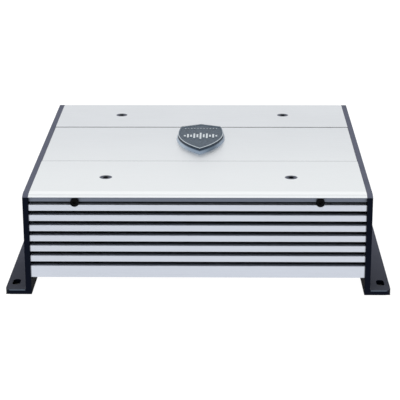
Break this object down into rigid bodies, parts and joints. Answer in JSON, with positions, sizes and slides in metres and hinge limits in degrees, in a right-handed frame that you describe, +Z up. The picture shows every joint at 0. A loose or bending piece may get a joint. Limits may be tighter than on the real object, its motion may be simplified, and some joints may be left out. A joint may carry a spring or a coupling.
{
  "type": "car amplifier",
  "caption": "Car audio amplifier: finned silver aluminium case with plain top panels and a shield badge, between two black end brackets with slotted feet.",
  "frame": {"origin": "middle of the footprint, on the surface the feet stand on", "axes": "+X from the left (power) end bracket to the right (signal) end bracket, +Y from the front fins to the rear fins, +Z up"},
  "size_m": [0.2556, 0.2378, 0.0732],
  "materials": {
    "case_silver": "fine satin, silver anodised",
    "panel_silver": "fine bead-blasted, silver anodised",
    "bracket_black": "satin black powder coat",
    "plate_black": "satin black paint on steel",
    "badge_plinth": "smoked satin chrome",
    "badge_plate": "slate, fine textured, bright rim",
    "screw_nickel": "black nickel plated",
    "screw_bright": "zinc plated",
    "screw_black": "black oxide",
    "standoff_brass": "nickel-free brass",
    "board_green": "solder mask over glass-epoxy",
    "thermal_pad": "soft silicone sheet",
    "device_black": "moulded epoxy",
    "clamp_aluminium": "mill finish",
    "ferrite": "sintered ferrite",
    "copper_winding": "enamelled copper wire",
    "capacitor_sleeve": "shrink sleeve over an aluminium can",
    "resistor_body": "cement body",
    "housing_black": "moulded nylon",
    "clamp_plated": "plated brass, satin",
    "contact_tin": "tin plated",
    "set_screw_steel": "nickel plated",
    "fuse_amber": "translucent polycarbonate",
    "pot_blue": "moulded case",
    "knob_black": "satin moulded",
    "lever_black": "satin moulded",
    "rca_plating": "gold plated",
    "rca_insulator": "moulded, red and white",
    "lens_clear": "clear polycarbonate"
  },
  "bodies": {
    "case": {"heatsink_front": "case_silver", "heatsink_rear": "case_silver", "top_panel_front": "panel_silver", "top_panel_rear": "panel_silver", "top_panel_center": "panel_silver", "end_bracket_left": "bracket_black", "end_bracket_right": "bracket_black", "bottom_plate": "plate_black", "badge_base": "badge_plinth", "badge_face": "badge_plate", "top_screws": "screw_nickel", "badge_nuts": "screw_bright", "board_screws": "screw_bright", "clamp_screws": "screw_bright", "transformer_mount": "screw_bright", "lip_screws": "screw_black", "bracket_screws": "screw_black", "bottom_screws": "screw_black", "board_standoffs": "standoff_brass", "main_board": "board_green", "control_board": "board_green", "driver_board": "board_green", "thermal_pads": "thermal_pad", "power_transistors": "device_black", "slide_switches": "device_black", "clamp_bars": "clamp_aluminium", "transformer_core": "ferrite", "transformer_winding": "copper_winding", "input_choke": "copper_winding", "rail_capacitors": "capacitor_sleeve", "input_capacitors": "capacitor_sleeve", "sense_resistors": "resistor_body", "power_terminal_housing": "housing_black", "speaker_terminal_housing": "housing_black", "fuse_holder": "housing_black", "rca_block": "housing_black", "remote_jack": "housing_black", "terminal_clamps": "clamp_plated", "fuse_clips": "contact_tin", "potentiometers": "pot_blue", "rca_shells": "rca_plating", "rca_inserts": "rca_insulator", "status_lenses": "lens_clear"},
    "power_screw_positive": {"power_screw_positive": "set_screw_steel"},
    "power_screw_ground": {"power_screw_ground": "set_screw_steel"},
    "power_screw_remote": {"power_screw_remote": "set_screw_steel"},
    "speaker_screw_1": {"speaker_screw_1": "set_screw_steel"},
    "speaker_screw_2": {"speaker_screw_2": "set_screw_steel"},
    "speaker_screw_3": {"speaker_screw_3": "set_screw_steel"},
    "speaker_screw_4": {"speaker_screw_4": "set_screw_steel"},
    "fuse_1": {"fuse_1": "fuse_amber", "fuse_1_blades": "contact_tin"},
    "fuse_2": {"fuse_2": "fuse_amber", "fuse_2_blades": "contact_tin"},
    "knob_level": {"knob_level": "knob_black"},
    "knob_highpass": {"knob_highpass": "knob_black"},
    "knob_lowpass": {"knob_lowpass": "knob_black"},
    "knob_bass": {"knob_bass": "knob_black"},
    "switch_lever_crossover": {"switch_lever_crossover": "lever_black"},
    "switch_lever_input": {"switch_lever_input": "lever_black"}
  },
  "joints": [
    {"name": "power_screw_positive_travel", "type": "slide", "parent": "case", "child": "power_screw_positive", "axis": [1, 0, 0], "range_m": [0, 0.004]},
    {"name": "power_screw_ground_travel", "type": "slide", "parent": "case", "child": "power_screw_ground", "axis": [1, 0, 0], "range_m": [0, 0.004]},
    {"name": "power_screw_remote_travel", "type": "slide", "parent": "case", "child": "power_screw_remote", "axis": [1, 0, 0], "range_m": [0, 0.004]},
    {"name": "speaker_screw_1_travel", "type": "slide", "parent": "case", "child": "speaker_screw_1", "axis": [1, 0, 0], "range_m": [0, 0.004]},
    {"name": "speaker_screw_2_travel", "type": "slide", "parent": "case", "child": "speaker_screw_2", "axis": [1, 0, 0], "range_m": [0, 0.004]},
    {"name": "speaker_screw_3_travel", "type": "slide", "parent": "case", "child": "speaker_screw_3", "axis": [1, 0, 0], "range_m": [0, 0.004]},
    {"name": "speaker_screw_4_travel", "type": "slide", "parent": "case", "child": "speaker_screw_4", "axis": [1, 0, 0], "range_m": [0, 0.004]},
    {"name": "fuse_1_pull", "type": "slide", "parent": "case", "child": "fuse_1", "axis": [-1, 0, 0], "range_m": [0, 0.022]},
    {"name": "fuse_2_pull", "type": "slide", "parent": "case", "child": "fuse_2", "axis": [-1, 0, 0], "range_m": [0, 0.022]},
    {"name": "level_turn", "type": "hinge", "parent": "case", "child": "knob_level", "pos_m": [0.1136, -0.074, 0.048], "axis": [1, 0, 0], "range_deg": [-150, 150]},
    {"name": "highpass_turn", "type": "hinge", "parent": "case", "child": "knob_highpass", "pos_m": [0.1136, -0.052, 0.048], "axis": [1, 0, 0], "range_deg": [-150, 150]},
    {"name": "lowpass_turn", "type": "hinge", "parent": "case", "child": "knob_lowpass", "pos_m": [0.1136, -0.03, 0.048], "axis": [1, 0, 0], "range_deg": [-150, 150]},
    {"name": "bass_turn", "type": "hinge", "parent": "case", "child": "knob_bass", "pos_m": [0.1136, -0.008, 0.048], "axis": [1, 0, 0], "range_deg": [-150, 150]},
    {"name": "crossover_switch_slide", "type": "slide", "parent": "case", "child": "switch_lever_crossover", "axis": [0, 1, 0], "range_m": [-0.002, 0.002]},
    {"name": "input_switch_slide", "type": "slide", "parent": "case", "child": "switch_lever_input", "axis": [0, 1, 0], "range_m": [-0.002, 0.002]}
  ]
}
